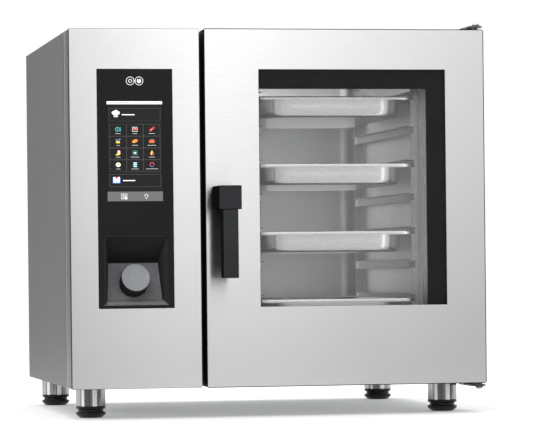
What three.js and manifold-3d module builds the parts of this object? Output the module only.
// Counter-top combi steamer oven for GN 1/1 pans: a stainless cabinet on four levelling feet, a control
// column at the left, and a side-hinged glazed door at the right. Millimetres, +Z up, +X to the right.
//
// Every piece is drawn in cabinet coordinates: x from the cabinet's left side, y back from the plane of
// the door's front face, and z up from the underside of the cabinet. The inner group then moves the
// whole cabinet, so that the origin lies at the bottom centre of the object's box.

import * as THREE from 'three';
import { mergeVertices } from 'three/addons/utils/BufferGeometryUtils.js';
import { ConvexGeometry } from 'three/addons/geometries/ConvexGeometry.js';
import Module from 'manifold-3d';

const wasm = await Module();
wasm.setup();

// ---------------------------------------------------------------------------------------------------
// Driving dimensions
// ---------------------------------------------------------------------------------------------------

const GAP = 0.3; // air left between two pieces that touch
const SHEET = 1.5; // stainless sheet
const THIN = 1; // pan and trim sheet

const BODY_W = 851;
const BODY_D = 785;
const BODY_H = 720;
const FOOT_H = 62;
const HANDLE_OUT = 80; // how far the handle stands in front of the door
const REAR_OUT = 20; // how far the connections stand out behind the cabinet
const BRACKET_OUT = 6; // how far the hinge brackets stand out at the right
const TRAY_H = 35; // height of the base chassis's walls
const SIDE_FOLD = 18; // width of the side panels' folded flanges

const FASCIA_W = 262;
const FASCIA_D = 80;

const DOOR_X0 = 274;
const DOOR_X1 = BODY_W;
const DOOR_T = 66;
const FRAME_Y = 80; // front face of the frame round the chamber's mouth
const PIVOT_X = 845;
const PIVOT_Y = 32;
const PIN_R = 4;

const WINDOW = { x0: 383.5, x1: 771, z0: 160, z1: 639.5 };
const BORDER_W = 39.5;
const GLASS_T = 4;
const GLASS_LAP = 8; // how far a pane reaches past its opening
const INNER_GLASS = { x0: 356, x1: 784, z0: 66, z1: 684 };

const BEZEL = { x0: 54.5, x1: 207.5, z0: 160, z1: 639.5 };
const BEZEL_LAP = 6.5;
const DISPLAY = { x0: 74, x1: 186.5, z0: 374.5, z1: 575 };

const RECESS = { x0: 68, x1: 194.5, z0: 168, z1: 303 };
const RECESS_DEEP = { y: 52, z: 253 }; // the fold between the scoop's ceiling and its floor
const RECESS_LOW = { y: 27, z: 176 }; // the floor's lower edge
const RECESS_TAPER = 0.34; // how far each side wall comes in, per millimetre of depth
const RECESS_WALL = 2.5;

const KNOB_TILT = Math.atan2(RECESS_DEEP.y - RECESS_LOW.y, RECESS_DEEP.z - RECESS_LOW.z);
const KNOB_X = 129;
const KNOB_Z = 208; // height at which the knob's axis meets the scoop's floor
const KNOB_R = 28.5;
const KNOB_L = 46;
const KNOB_TRAVEL = 1.5;
const STEM_R = 4;
const STEM_TOP = 30;

const HUB = { x0: 287, x1: 332.6, z0: 356, z1: 403.5 };
const GRIP_W = 31;
const GRIP_Z0 = 219;
const GRIP_T = 30;
const SPINDLE_R = 7;

const CHAMBER = { x0: 290, x1: 740, y0: 84.5, y1: 740, z0: 95, z1: 650 };
const CHAMBER_WALL = 2;
const CHAMBER_R = 32; // rounding of the chamber's upright rear corners
const MOUTH = { x0: 385, x1: 739, z0: 98, z1: 648 };
const INSULATION_T = 27;

const FAN_Y = 412;
const FAN_Z = 373;
const FAN_R = 118;
const FAN_SHAFT_R = 8;
const HEATER_END = { y: 148, z0: -60, z1: -90 }; // the heater's two ends, from the fan's axis
const INJECTOR = { y: -70, z: 175 }; // from the fan's axis
const BAFFLE_X = 372;

const RAIL_COUNT = 7;
const RAIL_PITCH = 69.6;
const RAIL_TOP = 600; // top lip of the highest rail
const RAIL_H = 18;
const RACK_X = 562.5; // middle plane between the two racks, and of the pans
const RACK_Y0 = 100;
const RACK_L = 540;

const PAN = { w: 325, d: 530, h: 42, rim: 11, rimR: 18, lip: 7, corner: 46 };
const PAN_LEVELS = [0, 2, 4, 6];

const LEG_R = 30;
const LEG_BOTTOM = -38.5;
const LEGS = [
  { name: 'front_left', x: 51, y: 115 },
  { name: 'front_right', x: 787, y: 115 },
  { name: 'rear_left', x: 51, y: 715 },
  { name: 'rear_right', x: 787, y: 715 },
];

const FLUE = { x: 600, y: 700, r: 30, top: 758 };
const DAMPER = { x: 480, y: 700, r: 25, top: 752, z: 712 };
const DRAIN = { x: 562, y: 414, r: 16, z: 52.5 };
const VALVE = { x: 210, z: 60, r: 13 };
const GLAND = { x: 300, z: 60, r: 11 };
const COOLER = { x: 100, z: 110, half: 46, r: 40 }; // electronics cooling fan on the rear panel

// ---------------------------------------------------------------------------------------------------
// Materials
// ---------------------------------------------------------------------------------------------------

function finish(color, roughness, metalness, opacity = 1) {
  const transparent = opacity < 1;
  return new THREE.MeshStandardMaterial({ color, roughness, metalness, opacity, transparent });
}

const MATERIALS = {
  brushed: finish(0xcfd0d1, 0.35, 1),
  side: finish(0x9b9c9d, 0.45, 1),
  bright: finish(0xdadbdc, 0.2, 1),
  galvanised: finish(0xa3a7a9, 0.55, 0.9),
  chamber: finish(0x8b8d8d, 0.3, 1),
  black: finish(0x242424, 0.45, 0),
  satinBlack: finish(0x2e2f31, 0.4, 0),
  screen: finish(0x2f2f2f, 0.15, 0),
  knob: finish(0x96999c, 0.6, 0.3),
  rubber: finish(0x171717, 0.8, 0),
  glass: finish(0xdde6e6, 0.05, 0, 0.25),
  wool: finish(0xd8cfae, 0.95, 0),
  board: finish(0x1f5a38, 0.6, 0.1),
  cast: finish(0x55585b, 0.6, 0.6),
  white: finish(0xe8e8e4, 0.5, 0),
};

// ---------------------------------------------------------------------------------------------------
// Solids: a closed geometry becomes a solid, solids are joined and cut, and a solid becomes a mesh
// ---------------------------------------------------------------------------------------------------

// Welds a geometry's vertices, drops faces of no area and turns the faces outwards.
function weld(geometry) {
  const bare = new THREE.BufferGeometry();
  bare.setAttribute('position', geometry.getAttribute('position').clone());
  bare.setIndex(geometry.index);
  const merged = mergeVertices(bare, 1e-3);
  const position = merged.getAttribute('position');
  const a = new THREE.Vector3();
  const b = new THREE.Vector3();
  const c = new THREE.Vector3();
  const faces = [];
  let volume = 0;
  for (let i = 0; i < merged.index.count; i += 3) {
    const corner = [0, 1, 2].map((k) => merged.index.getX(i + k));
    if (new Set(corner).size < 3) continue;
    a.fromBufferAttribute(position, corner[0]);
    b.fromBufferAttribute(position, corner[1]);
    c.fromBufferAttribute(position, corner[2]);
    volume += a.dot(b.cross(c));
    faces.push(corner);
  }
  if (volume < 0) faces.forEach((face) => face.reverse());
  return { vertProperties: new Float32Array(position.array), triVerts: new Uint32Array(faces.flat()) };
}

function solid(geometry) {
  return new wasm.Manifold(new wasm.Mesh({ numProp: 3, ...weld(geometry) }));
}

const join = (first, ...others) => others.reduce((sum, other) => sum.add(other), first);
const cut = (first, ...others) => others.reduce((rest, other) => rest.subtract(other), first);

function toMesh(name, shape, material) {
  const { vertProperties, triVerts } = shape.getMesh();
  const geometry = new THREE.BufferGeometry();
  geometry.setAttribute('position', new THREE.BufferAttribute(new Float32Array(vertProperties), 3));
  geometry.setIndex(new THREE.BufferAttribute(new Uint32Array(triVerts), 1));
  const mesh = new THREE.Mesh(geometry.toNonIndexed(), material);
  mesh.geometry.computeVertexNormals();
  mesh.name = name;
  return mesh;
}

// A box from its low and high limits on each axis.
function box(x0, x1, y0, y1, z0, z1) {
  const geometry = new THREE.BoxGeometry(x1 - x0, y1 - y0, z1 - z0);
  geometry.translate((x0 + x1) / 2, (y0 + y1) / 2, (z0 + z1) / 2);
  return solid(geometry);
}

// A box-like tray: walls of the given thickness, open on one side ('front', 'back', 'top').
function tray(x0, x1, y0, y1, z0, z1, wall, open) {
  const past = 5;
  const inner = [x0 + wall, x1 - wall, y0 + wall, y1 - wall, z0 + wall, z1 - wall];
  if (open === 'front') inner[2] = y0 - past;
  if (open === 'back') inner[3] = y1 + past;
  if (open === 'top') inner[5] = z1 + past;
  return cut(box(x0, x1, y0, y1, z0, z1), box(...inner));
}

// A round bar along 'x', 'y' or 'z', from one station on that axis to another, centred on (u, v), which
// are the two other coordinates in x, y, z order.
function bar(axis, from, to, u, v, radius, sides = 24) {
  const geometry = new THREE.CylinderGeometry(radius, radius, to - from, sides);
  const middle = (from + to) / 2;
  if (axis === 'x') {
    geometry.rotateZ(Math.PI / 2);
    geometry.translate(middle, u, v);
  }
  if (axis === 'y') geometry.translate(u, middle, v);
  if (axis === 'z') {
    geometry.rotateX(Math.PI / 2);
    geometry.translate(u, v, middle);
  }
  return solid(geometry);
}

// A turned piece about the Z axis, from [radius, z] points.
function turned(points, sides = 28) {
  const geometry = new THREE.LatheGeometry(
    points.map(([r, z]) => new THREE.Vector2(r, z)),
    sides,
  );
  geometry.rotateX(Math.PI / 2);
  return solid(geometry);
}

// A rectangle in plan with its four corners rounded: front left, front right, back right, back left.
function roundedPlan(x0, x1, y0, y1, [r1, r2, r3, r4]) {
  const shape = new THREE.Shape();
  const corner = (x, y, r, start) => {
    if (r > 0) shape.absarc(x, y, r, start, start + Math.PI / 2, false);
    else shape.lineTo(x, y);
  };
  shape.moveTo(x0 + r1, y0);
  shape.lineTo(x1 - r2, y0);
  corner(x1 - r2, y0 + r2, r2, -Math.PI / 2);
  shape.lineTo(x1, y1 - r3);
  corner(x1 - r3, y1 - r3, r3, 0);
  shape.lineTo(x0 + r4, y1);
  corner(x0 + r4, y1 - r4, r4, Math.PI / 2);
  shape.lineTo(x0, y0 + r1);
  corner(x0 + r1, y0 + r1, r1, Math.PI);
  return shape;
}

const outlineShape = (points) => new THREE.Shape(points.map(([u, v]) => new THREE.Vector2(u, v)));

// A plan (a Shape in the XY plane) raised from z0 to z1.
function raised(plan, z0, z1) {
  const options = { depth: z1 - z0, bevelEnabled: false, curveSegments: 3 };
  const geometry = new THREE.ExtrudeGeometry(plan, options);
  geometry.translate(0, 0, z0);
  return solid(geometry);
}

// An outline (a Shape in the XZ plane) drawn back from y0 to y1.
function drawnBack(outline, y0, y1) {
  const options = { depth: y1 - y0, bevelEnabled: false, curveSegments: 4 };
  const geometry = new THREE.ExtrudeGeometry(outline, options);
  geometry.rotateX(Math.PI / 2);
  geometry.translate(0, y1, 0);
  return solid(geometry);
}

// A six-sided rod along a smooth curve through the points.
function alongCurve(points, radius, steps) {
  const section = new THREE.Shape();
  section.absarc(0, 0, radius, 0, Math.PI * 2, false);
  const curve = new THREE.CatmullRomCurve3(
    points.map(([x, y, z]) => new THREE.Vector3(x, y, z)),
    false,
    'catmullrom',
    0.5,
  );
  const options = { steps, extrudePath: curve, bevelEnabled: false, curveSegments: 3 };
  return solid(new THREE.ExtrudeGeometry(section, options));
}

function convex(points) {
  return solid(new ConvexGeometry(points.map(([x, y, z]) => new THREE.Vector3(x, y, z))));
}

const range = (count) => Array.from({ length: count }, (_, i) => i);

// ---------------------------------------------------------------------------------------------------
// Cabinet
// ---------------------------------------------------------------------------------------------------

function baseChassis() {
  const edge = SHEET + GAP + 0.2;
  const floor = tray(edge, BODY_W - edge, FRAME_Y + 2.4, BODY_D - 2.4, 0, TRAY_H, 3, 'top');
  const slots = range(6).map((i) => box(90 + i * 30, 104 + i * 30, 300, 480, -1, 4));
  return cut(floor, ...slots);
}

// A box given by distances in from the left (side -1) or the right (side 1) face of the cabinet.
function fromSide(side, near, far, y0, y1, z0, z1) {
  if (side < 0) return box(near, far, y0, y1, z0, z1);
  return box(BODY_W - far, BODY_W - near, y0, y1, z0, z1);
}

// A side panel: a full-height skin, with flanges folded in between the chassis and the top panel.
function sidePanel(side) {
  const y0 = FRAME_Y + GAP;
  const y1 = BODY_D - 2 * SHEET - GAP;
  const low = TRAY_H + GAP;
  const high = BODY_H - SHEET - GAP;
  const skin = fromSide(side, 0, SHEET, y0, y1, 0, BODY_H);
  const front = fromSide(side, SHEET / 2, SIDE_FOLD, y0, y0 + SHEET, low, high);
  const rear = fromSide(side, SHEET / 2, SIDE_FOLD, y1 - SHEET, y1, low, high);
  return join(skin, front, rear);
}

function topPanel() {
  const x0 = SHEET + GAP;
  const x1 = BODY_W - SHEET - GAP;
  const y0 = FRAME_Y + GAP;
  const y1 = BODY_D - SHEET - GAP;
  const plate = box(x0, x1, y0, y1, BODY_H - SHEET, BODY_H);
  const rearFold = box(x0 + 20, x1 - 20, y1 - SHEET, y1, BODY_H - 20, BODY_H - 1);
  const flueHole = bar('z', BODY_H - 5, BODY_H + 5, FLUE.x, FLUE.y, FLUE.r + GAP);
  const damperHole = bar('z', BODY_H - 5, BODY_H + 5, DAMPER.x, DAMPER.y, DAMPER.r + GAP);
  return cut(join(plate, rearFold), flueHole, damperHole);
}

function rearPanel() {
  const y0 = BODY_D - SHEET - 1;
  const y1 = BODY_D + 1;
  const plate = box(GAP, BODY_W - GAP, BODY_D - SHEET, BODY_D, GAP, BODY_H - GAP);
  const holes = [
    bar('y', y0, y1, COOLER.x, COOLER.z, COOLER.r),
    bar('y', y0, y1, DRAIN.x, DRAIN.z, DRAIN.r + GAP, 20),
    bar('y', y0, y1, VALVE.x, VALVE.z, VALVE.r + GAP, 16),
    bar('y', y0, y1, GLAND.x, GLAND.z, GLAND.r + GAP, 16),
  ];
  const vents = range(10).map((i) => box(50, 190, y0, y1, 420 + i * 20, 427 + i * 20));
  return cut(plate, ...holes, ...vents);
}

// The plate round the chamber's mouth, between the fascia and the right-hand side panel's flange.
function frontFrame() {
  const x0 = FASCIA_W + 2;
  const x1 = BODY_W - SIDE_FOLD - GAP;
  const top = BODY_H - SHEET - GAP;
  const plate = box(x0, x1, FRAME_Y, FRAME_Y + 2, GAP, top);
  const fold = box(x0, x1, FRAME_Y + 1, FRAME_Y + 16, top - 2, top);
  const mouth = box(MOUTH.x0, MOUTH.x1, FRAME_Y - 1, FRAME_Y + 5, MOUTH.z0, MOUTH.z1);
  return cut(join(plate, fold), mouth);
}

// ---------------------------------------------------------------------------------------------------
// Control column
// ---------------------------------------------------------------------------------------------------

function controlFascia() {
  const folded = tray(0, FASCIA_W, 0, FASCIA_D, 0, BODY_H, SHEET, 'back');
  const opening = box(BEZEL.x0, BEZEL.x1, -1, SHEET + 1, BEZEL.z0, BEZEL.z1);
  return cut(folded, opening);
}

// The scoop's inside: a tapering hollow with a fold at its deepest line. grow moves every wall outwards.
function scoop(grow, mouthY) {
  const half = (RECESS.x1 - RECESS.x0) / 2;
  const middle = (RECESS.x0 + RECESS.x1) / 2;
  const halfAt = (y) => half - y * RECESS_TAPER + grow;
  const line = (y, z) => [
    [middle - halfAt(y), y, z],
    [middle + halfAt(y), y, z],
  ];
  return convex([
    ...line(mouthY, RECESS.z0 - grow),
    ...line(mouthY, RECESS.z1 + grow),
    ...line(RECESS_DEEP.y + grow, RECESS_DEEP.z),
    ...line(RECESS_LOW.y + grow, RECESS_LOW.z - grow),
  ]);
}

function controlBezel() {
  const proud = 0.8;
  const face = box(BEZEL.x0 + GAP, BEZEL.x1 - GAP, -proud, SHEET + 1, BEZEL.z0 + GAP, BEZEL.z1 - GAP);
  const flange = box(
    BEZEL.x0 - BEZEL_LAP,
    BEZEL.x1 + BEZEL_LAP,
    SHEET + GAP,
    SHEET + 2.5,
    BEZEL.z0 - BEZEL_LAP,
    BEZEL.z1 + BEZEL_LAP,
  );
  const window = box(DISPLAY.x0, DISPLAY.x1, -5, 10, DISPLAY.z0, DISPLAY.z1);
  const shell = scoop(RECESS_WALL, SHEET + 1);
  const hollow = scoop(0, -proud - 1);
  return cut(join(face, flange, shell), window, hollow, stemHole());
}

// Moves a solid drawn along +Z to the knob's axis, with z = 0 on the scoop's floor.
function onKnobAxis(mesh) {
  mesh.position.set(KNOB_X, RECESS_LOW.y + (KNOB_Z - RECESS_LOW.z) * Math.tan(KNOB_TILT), KNOB_Z);
  mesh.rotation.x = Math.PI / 2 - KNOB_TILT;
  return mesh;
}

function stemHole() {
  const drill = new THREE.CylinderGeometry(STEM_R + GAP, STEM_R + GAP, 40, 24);
  drill.rotateX(Math.PI / 2);
  const carrier = onKnobAxis(new THREE.Mesh(drill));
  carrier.updateMatrix();
  return solid(drill.applyMatrix4(carrier.matrix));
}

function touchDisplay() {
  const pane = box(DISPLAY.x0 + GAP, DISPLAY.x1 - GAP, -0.8, 5, DISPLAY.z0 + GAP, DISPLAY.z1 - GAP);
  const housing = box(DISPLAY.x0 - 6, DISPLAY.x1 + 6, 4.3, 24, DISPLAY.z0 - 6, DISPLAY.z1 + 6);
  return join(pane, housing);
}

function controlBoard() {
  const plate = box(66, 196, 30, 32, 330, 600);
  const corners = [
    [72, 340],
    [72, 590],
    [190, 340],
    [190, 590],
  ];
  const pillars = corners.map(([x, z]) => bar('y', 31, 40, x, z, 4, 12));
  const relay = box(90, 120, 31, 40, 380, 410);
  const transformer = box(90, 112, 31, 52, 470, 520);
  const connector = box(140, 170, 31, 46, 430, 450);
  return join(plate, ...pillars, relay, transformer, connector);
}

// The encoder sits behind the scoop's floor and holds the knob's spindle.
function knobEncoder() {
  const body = box(-16, 16, -16, 16, -RECESS_WALL - 24, -RECESS_WALL - 0.5);
  const bore = bar('z', -RECESS_WALL - 20, 5, 0, 0, STEM_R + GAP);
  return cut(body, bore);
}

function knobSpindle() {
  return bar('z', -RECESS_WALL - 16, STEM_TOP, 0, 0, STEM_R);
}

function controlKnob() {
  const base = KNOB_TRAVEL + 1;
  const bore = STEM_TOP + GAP;
  return turned(
    [
      [STEM_R + GAP, base],
      [KNOB_R - 0.8, base],
      [KNOB_R, base + 0.8],
      [KNOB_R, KNOB_L - 1],
      [KNOB_R - 1, KNOB_L],
      [KNOB_R - 2.5, KNOB_L],
      [KNOB_R - 3, KNOB_L - 0.6],
      [0, KNOB_L - 0.6],
      [0, bore],
      [STEM_R + GAP, bore],
      [STEM_R + GAP, base],
    ],
    36,
  );
}

// ---------------------------------------------------------------------------------------------------
// Cooking chamber
// ---------------------------------------------------------------------------------------------------

function chamberHoles() {
  const left = (y, z, r) => bar('x', CHAMBER.x0 - 40, CHAMBER.x0 + 5, y, z, r, 16);
  const ceiling = (at) => bar('z', CHAMBER.z1 - 1, CHAMBER.z1 + 40, at.x, at.y, at.r + GAP);
  return [
    left(FAN_Y, FAN_Z, 16),
    left(FAN_Y + HEATER_END.y, FAN_Z + HEATER_END.z0, 7),
    left(FAN_Y + HEATER_END.y, FAN_Z + HEATER_END.z1, 7),
    left(FAN_Y + INJECTOR.y, FAN_Z + INJECTOR.z, 6),
    bar('z', CHAMBER.z0 - 40, CHAMBER.z0 + 2, DRAIN.x, DRAIN.y, DRAIN.r + GAP),
    ceiling(FLUE),
    ceiling(DAMPER),
  ];
}

// The chamber's plan, grown outwards on all sides, with its two rear corners rounded.
function chamberPlan(grow, r) {
  const { x0, x1, y0, y1 } = CHAMBER;
  return roundedPlan(x0 - grow, x1 + grow, y0 - grow, y1 + grow, [0, 0, r, r]);
}

function cookingChamber() {
  const w = CHAMBER_WALL;
  const outer = raised(chamberPlan(w, CHAMBER_R + w), CHAMBER.z0 - w, CHAMBER.z1 + w);
  const inner = raised(chamberPlan(0, CHAMBER_R), CHAMBER.z0, CHAMBER.z1);
  const mouth = box(MOUTH.x0, MOUTH.x1, CHAMBER.y0 - 10, CHAMBER.y0 + 1, MOUTH.z0, MOUTH.z1);
  return cut(outer, inner, mouth, ...chamberHoles());
}

function insulationJacket() {
  const w = CHAMBER_WALL + GAP;
  const t = INSULATION_T;
  const outer = box(
    CHAMBER.x0 - t,
    CHAMBER.x1 + t,
    CHAMBER.y0 + 15,
    CHAMBER.y1 + t,
    CHAMBER.z0 - t + 2,
    CHAMBER.z1 + t,
  );
  const core = raised(chamberPlan(w, CHAMBER_R), CHAMBER.z0 - w, CHAMBER.z1 + w);
  return cut(outer, core, ...chamberHoles());
}

// The rectangular lip seal round the mouth, fixed to the front frame.
function doorGasket() {
  const y0 = DOOR_T + GLASS_T + 2 * GAP;
  const y1 = FRAME_Y - GAP;
  const outer = box(358, 770, y0, y1, 80, 672);
  const inner = box(369, 759, y0 - 1, y1 + 1, 91, 661);
  const groove = cut(box(363, 765, y0 - 1, y0 + 3, 85, 667), box(365, 763, y0 - 2, y0 + 4, 87, 665));
  return cut(outer, inner, groove);
}

function dripGutter() {
  const x0 = 330;
  const x1 = 810;
  const y0 = 70;
  const y1 = FRAME_Y - GAP;
  return cut(box(x0, x1, y0, y1, 24, 44), box(x0 + 2, x1 - 2, y0 + 1.5, y1 - 1.5, 26, 50));
}

// One rack: seven C-section rails that open towards the pans, and two uprights.
function rack(side) {
  const web = 166; // distance from the pans' middle plane to the rails' inner web face
  const tip = 153;
  const lowTip = 156;
  const upright0 = 159;
  const upright1 = 177;
  const t = SHEET;
  const toX = (distance) => RACK_X + side * distance;
  const span = (near, far, ...limits) => {
    const [x0, x1] = side < 0 ? [toX(far), toX(near)] : [toX(near), toX(far)];
    return box(x0, x1, ...limits);
  };
  const stations = [RACK_Y0, RACK_Y0 + RACK_L - 12];
  let uprights = join(...stations.map((y) => span(upright0, upright1, y, y + 2, 125, 632)));
  const rails = [];
  for (let i = 0; i < RAIL_COUNT; i += 1) {
    const top = RAIL_TOP - i * RAIL_PITCH;
    const foot = top - RAIL_H;
    uprights = cut(uprights, span(upright0 - 1, web, RACK_Y0 - 1, RACK_Y0 + RACK_L, foot + t, top - t));
    const outline = [
      [toX(tip), top],
      [toX(web + t), top],
      [toX(web + t), foot],
      [toX(lowTip), foot],
      [toX(lowTip), foot + t],
      [toX(web), foot + t],
      [toX(web), top - t],
      [toX(tip), top - t],
    ];
    rails.push(drawnBack(outlineShape(outline), RACK_Y0, RACK_Y0 + RACK_L));
  }
  const wall = side > 0 ? CHAMBER.x1 - GAP - RACK_X : RACK_X - BAFFLE_X - 2 - GAP;
  const hooks = stations.flatMap((y) =>
    [150, 590].map((z) => span(upright1 - 1, wall, y, y + 2, z, z + 14)),
  );
  return join(uprights, ...rails, ...hooks);
}

// A GN 1/1 pan of 40 mm depth: a rolled rim and a bowl with round corners, open at the top.
function pan(level) {
  const x0 = RACK_X - PAN.w / 2;
  const x1 = RACK_X + PAN.w / 2;
  const y0 = RACK_Y0 - 3;
  const y1 = y0 + PAN.d;
  const top = RAIL_TOP - level * RAIL_PITCH - RAIL_H + SHEET + GAP + PAN.lip;
  const plan = (inset, r) => roundedPlan(x0 + inset, x1 - inset, y0 + inset, y1 - inset, [r, r, r, r]);
  const rimOuter = raised(plan(0, PAN.rimR), top - PAN.lip, top);
  const rimInner = raised(plan(THIN, PAN.rimR - THIN), top - PAN.lip - 1, top - THIN);
  const bowl = raised(plan(PAN.rim, PAN.corner), top - PAN.h, top - THIN / 2);
  const hollow = raised(plan(PAN.rim + THIN, PAN.corner - THIN), top - PAN.h + THIN, top + 1);
  return cut(join(cut(rimOuter, rimInner), bowl), hollow);
}

// ---------------------------------------------------------------------------------------------------
// Air, steam and water
// ---------------------------------------------------------------------------------------------------

// The plate between the fan and the pans: an intake grille at its middle, gaps all round for the outlet.
function fanBaffle() {
  const t = 2;
  const intake = 92;
  const x1 = BAFFLE_X + t;
  const plate = box(BAFFLE_X, x1, 104, 716, 118, 627);
  const hole = bar('x', BAFFLE_X - 1, x1 + 1, FAN_Y, FAN_Z, intake, 40);
  const slats = [-2, -1, 0, 1, 2].map((i) => {
    const z = FAN_Z + i * 34;
    return box(BAFFLE_X, x1, FAN_Y - intake - 1, FAN_Y + intake + 1, z - 3, z + 3);
  });
  const legs = [120, 690].flatMap((y) =>
    [135, 600].map((z) => box(CHAMBER.x0 + GAP, BAFFLE_X + 1, y, y + 10, z, z + 10)),
  );
  return join(cut(plate, hole), ...slats, ...legs);
}

function fanMotor() {
  const x1 = CHAMBER.x0 - INSULATION_T - GAP;
  const casing = bar('x', x1 - 110, x1 - 8, FAN_Y, FAN_Z, 62);
  const flange = bar('x', x1 - 9, x1, FAN_Y, FAN_Z, 78);
  const bore = bar('x', x1 - 60, x1 + 5, FAN_Y, FAN_Z, FAN_SHAFT_R + GAP, 16);
  return cut(join(casing, flange), bore);
}

// A radial wheel: back plate, blades and shaft in one piece.
function fanWheel() {
  const x0 = CHAMBER.x0 + 12;
  const plate = bar('x', x0, x0 + 2, FAN_Y, FAN_Z, FAN_R, 36);
  const hub = bar('x', x0, x0 + 26, FAN_Y, FAN_Z, 2 * FAN_SHAFT_R, 16);
  const shaft = bar('x', CHAMBER.x0 - 80, x0 + 1, FAN_Y, FAN_Z, FAN_SHAFT_R, 16);
  const bladeCount = 12;
  const blades = range(bladeCount).map((i) => {
    const blade = new THREE.BoxGeometry(46, 2, 34);
    blade.translate(x0 + 24, 0, FAN_R - 19);
    blade.rotateX((i * 2 * Math.PI) / bladeCount);
    blade.translate(0, FAN_Y, FAN_Z);
    return solid(blade);
  });
  return join(plate, hub, shaft, ...blades);
}

// A tubular heater wound round the fan, with both ends through the chamber's left wall.
function heatingElement() {
  const turns = 2;
  const perTurn = 12;
  const pitch = 22;
  const start = CHAMBER.x0 + 16;
  const end = start + turns * pitch;
  const y = FAN_Y + HEATER_END.y;
  const z0 = FAN_Z + HEATER_END.z0;
  const z1 = FAN_Z + HEATER_END.z1;
  const wallX = CHAMBER.x0 - 24;
  const radius = Math.hypot(HEATER_END.y, HEATER_END.z0);
  const startAngle = Math.atan2(HEATER_END.z0, HEATER_END.y);
  const coil = range(turns * perTurn).map((i) => {
    const angle = startAngle + (i * 2 * Math.PI) / perTurn;
    const x = start + (pitch * i) / perTurn;
    return [x, FAN_Y + radius * Math.cos(angle), FAN_Z + radius * Math.sin(angle)];
  });
  const points = [
    [wallX, y, z0],
    [CHAMBER.x0 - 4, y, z0],
    [start - 4, y + 1, z0 + 4],
    ...coil.slice(1),
    [end, y - 6, z0 - 12],
    [end - 8, y - 2, z0 - 28],
    [start, y, z1],
    [wallX, y, z1],
  ];
  return alongCurve(points, 4, 64);
}

function steamInjector() {
  const y = FAN_Y + INJECTOR.y;
  const z = FAN_Z + INJECTOR.z;
  const points = [
    [CHAMBER.x0 - 40, y, z],
    [CHAMBER.x0 + 4, y, z],
    [CHAMBER.x0 + 14, y, z - 10],
    [CHAMBER.x0 + 14, y, z - 40],
  ];
  return alongCurve(points, 4, 14);
}

function drainPipe() {
  const { x, y, z, r } = DRAIN;
  const upper = bar('z', z, CHAMBER.z0 - 1, x, y, r, 20);
  const elbow = new THREE.SphereGeometry(r, 20, 10);
  elbow.rotateX(Math.PI / 2);
  elbow.translate(x, y, z);
  const run = bar('y', y, BODY_D + REAR_OUT, x, z, r, 20);
  const boreDown = bar('z', z, CHAMBER.z0 + 1, x, y, r - 3, 16);
  const boreRun = bar('y', y, BODY_D + REAR_OUT + 1, x, z, r - 3, 16);
  return cut(join(upper, solid(elbow), run), boreDown, boreRun);
}

// A short pipe from the chamber's ceiling through the top panel, with a turned-out rim.
function flue(at) {
  const bottom = CHAMBER.z1 + 0.5;
  return turned([
    [at.r - 2, bottom],
    [at.r, bottom],
    [at.r, at.top - 4],
    [at.r + 2, at.top - 2],
    [at.r + 2, at.top],
    [at.r - 2, at.top],
    [at.r - 2, bottom],
  ]);
}

// The humidity damper's pipe has a cross bore for the disc's spindle.
function damperPipe() {
  return cut(flue(DAMPER), bar('x', -40, 40, 0, DAMPER.z, 2.3, 12));
}

function damperDisc() {
  const disc = bar('z', -1, 1, 0, 0, DAMPER.r - 3.2);
  const spindle = bar('x', -DAMPER.r - 6, DAMPER.r + 6, 0, 0, 2, 12);
  return join(disc, spindle);
}

function waterValve() {
  const { x, z, r } = VALVE;
  const thread = bar('y', BODY_D - 30, BODY_D + REAR_OUT - 2, x, z, r, 20);
  const coil = box(x - 20, x + 20, BODY_D - 74, BODY_D - 28, z - 16, z + 40);
  const bore = bar('y', BODY_D - 10, BODY_D + REAR_OUT, x, z, r - 4, 16);
  return cut(join(thread, coil), bore);
}

function mainsGland() {
  const { x, z, r } = GLAND;
  const thread = bar('y', BODY_D - 14, BODY_D + 1, x, z, r, 20);
  const nut = bar('y', BODY_D + GAP, BODY_D + 14, x, z, r + 4, 6);
  const lockNut = bar('y', BODY_D - 10, BODY_D - SHEET - GAP, x, z, r + 4, 6);
  const bore = bar('y', BODY_D - 20, BODY_D + 20, x, z, r - 5, 12);
  return cut(join(thread, nut, lockNut), bore);
}

function terminalBlock() {
  const body = box(40, 150, BODY_D - 60, BODY_D - 30, 230, 256);
  const foot = box(34, 156, BODY_D - 30.1, BODY_D - 28, 226, 260);
  const ways = range(5).map((i) => {
    const x = 46 + i * 21;
    return box(x, x + 14, BODY_D - 61, BODY_D - 50, 236, 250);
  });
  return cut(join(body, foot), ...ways);
}

function coolerFrame() {
  const { x, z, half, r } = COOLER;
  const y0 = BODY_D - 30;
  const y1 = BODY_D - SHEET - GAP;
  const block = box(x - half, x + half, y0, y1, z - half, z + half);
  const duct = bar('y', y0 - 1, y1 + 1, x, z, r);
  const arm = box(x - half, x + half, y0, y0 + 3, z - 3, z + 3);
  const seat = bar('y', y0, y0 + 3, x, z, 14);
  return join(cut(block, duct), arm, seat);
}

function coolerRotor() {
  const { x, z, r } = COOLER;
  const y0 = BODY_D - 26.5;
  const bladeCount = 7;
  const hub = bar('y', y0, y0 + 20, x, z, 15);
  const blades = range(bladeCount).map((i) => {
    const blade = new THREE.BoxGeometry(3, 17, r - 15);
    blade.rotateZ(0.5);
    blade.translate(0, y0 + 10, (r + 11) / 2);
    blade.rotateY((i * 2 * Math.PI) / bladeCount);
    blade.translate(x, 0, z);
    return solid(blade);
  });
  return join(hub, ...blades);
}

// ---------------------------------------------------------------------------------------------------
// Door
// ---------------------------------------------------------------------------------------------------

const hubX = (HUB.x0 + HUB.x1) / 2;
const hubZ = (HUB.z0 + HUB.z1) / 2;

function windowHole(grow, y0, y1) {
  return box(WINDOW.x0 - grow, WINDOW.x1 + grow, y0, y1, WINDOW.z0 - grow, WINDOW.z1 + grow);
}

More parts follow.
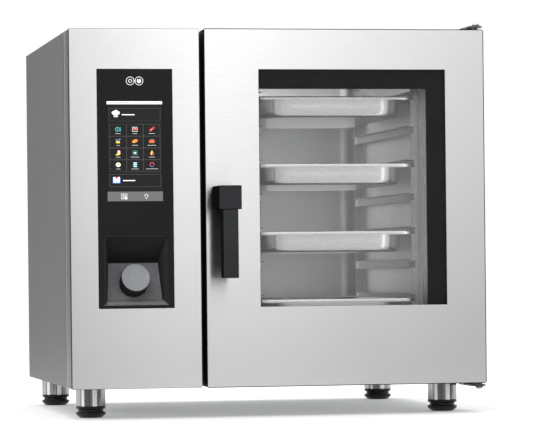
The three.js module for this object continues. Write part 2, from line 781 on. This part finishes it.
function pivotHoles() {
  return bar('z', -20, BODY_H + 20, PIVOT_X, PIVOT_Y, PIN_R + GAP);
}

function doorSkin() {
  const folded = tray(DOOR_X0, DOOR_X1, 0, DOOR_T - SHEET - GAP, 0, BODY_H, SHEET, 'back');
  const spindleHole = bar('y', -1, 3, hubX, hubZ, SPINDLE_R + GAP);
  return cut(folded, windowHole(0, -1, 3), spindleHole, pivotHoles());
}

function outerGlass() {
  return windowHole(GLASS_LAP, SHEET + GAP, SHEET + GAP + GLASS_T);
}

// The dark border shows at the top and the right of the window only.
function windowBorder() {
  const y0 = SHEET + GLASS_T + 2 * GAP;
  const y1 = y0 + 0.8;
  const outline = [
    [WINDOW.x0 - GLASS_LAP, WINDOW.z1 - BORDER_W],
    [WINDOW.x1 - BORDER_W, WINDOW.z1 - BORDER_W],
    [WINDOW.x1 - BORDER_W, WINDOW.z0 - GLASS_LAP],
    [WINDOW.x1 + GLASS_LAP, WINDOW.z0 - GLASS_LAP],
    [WINDOW.x1 + GLASS_LAP, WINDOW.z1 + GLASS_LAP],
    [WINDOW.x0 - GLASS_LAP, WINDOW.z1 + GLASS_LAP],
  ];
  return drawnBack(outlineShape(outline), y0, y1);
}

function windowSpacer() {
  const y0 = 7.2;
  const y1 = DOOR_T - SHEET - GAP;
  return cut(windowHole(GLASS_LAP + 4, y0, y1), windowHole(GLASS_LAP + 2.5, y0 - 1, y1 + 1));
}

function lampStrip() {
  const x0 = WINDOW.x1 - BORDER_W + 9;
  return box(x0, x0 + 22, 8, 20, 190, 590);
}

function doorLiner() {
  const plate = box(DOOR_X0 + GAP, DOOR_X1 - GAP, DOOR_T - SHEET, DOOR_T, GAP, BODY_H - GAP);
  const fold = cut(
    box(DOOR_X0 + 2, DOOR_X1 - 2, 45, DOOR_T - 1, 2, BODY_H - 2),
    box(DOOR_X0 + 3.5, DOOR_X1 - 3.5, 44, DOOR_T + 1, 3.5, BODY_H - 3.5),
  );
  const hole = windowHole(GLASS_LAP, DOOR_T - 5, DOOR_T + 5);
  const spindleHole = bar('y', DOOR_T - 5, DOOR_T + 5, hubX, hubZ, SPINDLE_R + GAP);
  return cut(join(plate, fold), hole, spindleHole);
}

function innerGlass() {
  const g = INNER_GLASS;
  return box(g.x0, g.x1, DOOR_T + GAP, DOOR_T + GAP + GLASS_T, g.z0, g.z1);
}

// The hinge pin: a domed head, a shank through the bracket into the door, and a spacing collar between
// them. Drawn about its own axis with z = 0 at the door's top face.
function hingePin(plateLow, plateHigh) {
  const shankEnd = -20;
  const collarR = 7;
  const headR = 8;
  const headH = 5.5;
  const top = plateHigh + GAP;
  const domeSteps = 4;
  const dome = range(domeSteps).map((i) => {
    const angle = (i * Math.PI) / (2 * domeSteps);
    return [headR * Math.cos(angle), top + headH * Math.sin(angle)];
  });
  const points = [
    [0, shankEnd],
    [PIN_R, shankEnd],
    [PIN_R, GAP],
    [collarR, GAP],
    [collarR, plateLow - GAP],
    [PIN_R, plateLow - GAP],
    [PIN_R, top],
    ...dome,
    [0, top + headH],
  ];
  return turned(points, 16);
}

// A cranked bracket: a wedge-shaped foot on the cabinet and a flat arm over the door's corner.
function hingeBracket(footX, armLow, armHigh) {
  const x0 = PIVOT_X - 16;
  const x1 = BODY_W + BRACKET_OUT;
  const footOutline = [
    [footX, GAP],
    [x1, GAP],
    [x1, armHigh],
    [x0, armHigh],
  ];
  const armPlan = [
    [x0, FRAME_Y + 5],
    [x0, PIVOT_Y - 2],
    [x0 + 9, PIVOT_Y - 15],
    [x1 - 7, PIVOT_Y - 15],
    [x1, PIVOT_Y - 6],
    [x1, FRAME_Y + 5],
  ];
  const foot = drawnBack(outlineShape(footOutline), FRAME_Y + 4, FRAME_Y + 54);
  const arm = raised(outlineShape(armPlan), armLow, armHigh);
  return cut(join(foot, arm), bar('z', -5, armHigh + 5, PIVOT_X, PIVOT_Y, PIN_R + GAP));
}

const TOP_HINGE = { footX: 811, low: 7, high: 11 };
const BOTTOM_HINGE = { footX: 821, low: 4.5, high: 9 };

// ---------------------------------------------------------------------------------------------------
// Handle and latch
// ---------------------------------------------------------------------------------------------------

// A block with rounded corners in the XZ plane, drawn from y0 to y1.
function roundedBlock(x0, x1, z0, z1, r, y0, y1) {
  return drawnBack(roundedPlan(x0, x1, z0, z1, [r, r, r, r]), y0, y1);
}

// The hub carries the spindle, which goes through the door to the latch cam.
function handleHub() {
  const block = roundedBlock(HUB.x0, HUB.x1, HUB.z0, HUB.z1, 3, -HANDLE_OUT, -GAP);
  const spindle = bar('y', -2, DOOR_T + 1, hubX, hubZ, SPINDLE_R);
  return join(block, spindle);
}

function handleGrip() {
  const x0 = hubX - GRIP_W / 2;
  const y0 = -HANDLE_OUT;
  return roundedBlock(x0, x0 + GRIP_W, GRIP_Z0, HUB.z0 - GAP, 4, y0, y0 + GRIP_T);
}

const CATCH = { x: hubX - 25, z: hubZ - 26.7, r: 4.5 };

// A cam arm on the spindle's end, with a notch that takes the catch pin.
function latchCam() {
  const y0 = DOOR_T + 1.3;
  const y1 = y0 + 5;
  const tipX = hubX - 20;
  const tipZ = hubZ - 30;
  const along = Math.atan2(tipZ - hubZ, tipX - hubX);
  const arm = new THREE.Shape();
  arm.absarc(tipX, tipZ, 9, along - Math.PI / 2, along + Math.PI / 2, false);
  arm.absarc(hubX, hubZ, 15, along + Math.PI / 2, along + (3 * Math.PI) / 2, false);
  const notch = bar('y', y0 - 1, y1 + 1, CATCH.x, CATCH.z, CATCH.r + 1.5, 16);
  return cut(drawnBack(arm, y0, y1), notch);
}

function latchStrike() {
  const { x, z, r } = CATCH;
  const plate = box(x - 9, x + 9, FRAME_Y - 2.5, FRAME_Y - GAP, z - 20, z + 20);
  return join(plate, bar('y', DOOR_T + 1, FRAME_Y - 2, x, z, r, 16));
}

// ---------------------------------------------------------------------------------------------------
// Legs and feet, drawn about their own axis with z = 0 at the cabinet's underside
// ---------------------------------------------------------------------------------------------------

function leg() {
  return turned(
    [
      [0, -4],
      [LEG_R - 3, -4],
      [LEG_R - 3, LEG_BOTTOM],
      [LEG_R, LEG_BOTTOM],
      [LEG_R, -GAP],
      [0, -GAP],
    ],
    24,
  );
}

function footPad() {
  return turned(
    [
      [0, -FOOT_H],
      [22, -FOOT_H],
      [LEG_R + 0.5, -55],
      [LEG_R + 0.5, -50.5],
      [25.5, -49],
      [25.5, -44.5],
      [LEG_R, -43.5],
      [LEG_R, LEG_BOTTOM - GAP],
      [9, LEG_BOTTOM - GAP],
      [9, -6],
      [0, -6],
    ],
    24,
  );
}

// ---------------------------------------------------------------------------------------------------
// Assembly
// ---------------------------------------------------------------------------------------------------

const cabinet = new THREE.Group();

function place(name, shape, material) {
  const mesh = toMesh(name, shape, MATERIALS[material]);
  cabinet.add(mesh);
  return mesh;
}

place('base_chassis', baseChassis(), 'galvanised');
place('left_side_panel', sidePanel(-1), 'side');
place('right_side_panel', sidePanel(1), 'side');
place('top_panel', topPanel(), 'brushed');
place('rear_panel', rearPanel(), 'galvanised');
place('front_frame', frontFrame(), 'brushed');

place('control_fascia', controlFascia(), 'brushed');
place('control_bezel', controlBezel(), 'black');
place('touch_display', touchDisplay(), 'screen');
place('control_board', controlBoard(), 'board');
onKnobAxis(place('knob_encoder', knobEncoder(), 'cast'));
onKnobAxis(place('knob_spindle', knobSpindle(), 'bright'));
onKnobAxis(place('control_knob', controlKnob(), 'knob'));

place('cooking_chamber', cookingChamber(), 'chamber');
place('insulation_jacket', insulationJacket(), 'wool');
place('door_gasket', doorGasket(), 'rubber');
place('drip_gutter', dripGutter(), 'brushed');
place('left_rack', rack(-1), 'bright');
place('right_rack', rack(1), 'bright');
PAN_LEVELS.forEach((level, i) => place(`gn_pan_${i + 1}`, pan(level), 'bright'));

place('fan_baffle', fanBaffle(), 'chamber');
place('fan_motor', fanMotor(), 'cast');
place('fan_wheel', fanWheel(), 'bright');
place('heating_element', heatingElement(), 'cast');
place('steam_injector', steamInjector(), 'bright');
place('drain_pipe', drainPipe(), 'galvanised');
place('flue_pipe', flue(FLUE), 'brushed').position.set(FLUE.x, FLUE.y, 0);
place('damper_pipe', damperPipe(), 'brushed').position.set(DAMPER.x, DAMPER.y, 0);
place('damper_disc', damperDisc(), 'bright').position.set(DAMPER.x, DAMPER.y, DAMPER.z);
place('water_valve', waterValve(), 'white');
place('mains_gland', mainsGland(), 'black');
place('terminal_block', terminalBlock(), 'white');
place('cooler_frame', coolerFrame(), 'black');
place('cooler_rotor', coolerRotor(), 'black');

place('door_skin', doorSkin(), 'brushed');
place('outer_glass', outerGlass(), 'glass');
place('window_border', windowBorder(), 'black');
place('window_spacer', windowSpacer(), 'brushed');
place('lamp_strip', lampStrip(), 'white');
place('door_liner', doorLiner(), 'brushed');
place('inner_glass', innerGlass(), 'glass');

place('handle_hub', handleHub(), 'satinBlack');
place('handle_grip', handleGrip(), 'satinBlack');
place('latch_cam', latchCam(), 'bright');
place('latch_strike', latchStrike(), 'bright');

function placeHinge(where, { footX, low, high }, parent) {
  const bracket = place(`hinge_${where}_bracket`, hingeBracket(footX, low, high), 'bright');
  const pin = place(`hinge_${where}_pin`, hingePin(low, high), 'bright');
  pin.position.set(PIVOT_X, PIVOT_Y, 0);
  parent.add(bracket, pin);
}

const topCorner = new THREE.Group();
topCorner.position.z = BODY_H;
placeHinge('top', TOP_HINGE, topCorner);

// The bottom hinge is the same pair of pieces, mirrored.
const bottomCorner = new THREE.Group();
bottomCorner.scale.z = -1;
placeHinge('bottom', BOTTOM_HINGE, bottomCorner);
cabinet.add(topCorner, bottomCorner);

for (const at of LEGS) {
  place(`leg_${at.name}`, leg(), 'bright').position.set(at.x, at.y, 0);
  place(`foot_${at.name}`, footPad(), 'rubber').position.set(at.x, at.y, 0);
}

// Move the cabinet so that the origin is at the bottom centre of the object's box.
const boxFront = -HANDLE_OUT;
const boxBack = BODY_D + REAR_OUT;
cabinet.position.set(-(BODY_W + BRACKET_OUT) / 2, -(boxFront + boxBack) / 2, FOOT_H);

const oven = new THREE.Group();
oven.add(cabinet);

export default oven;
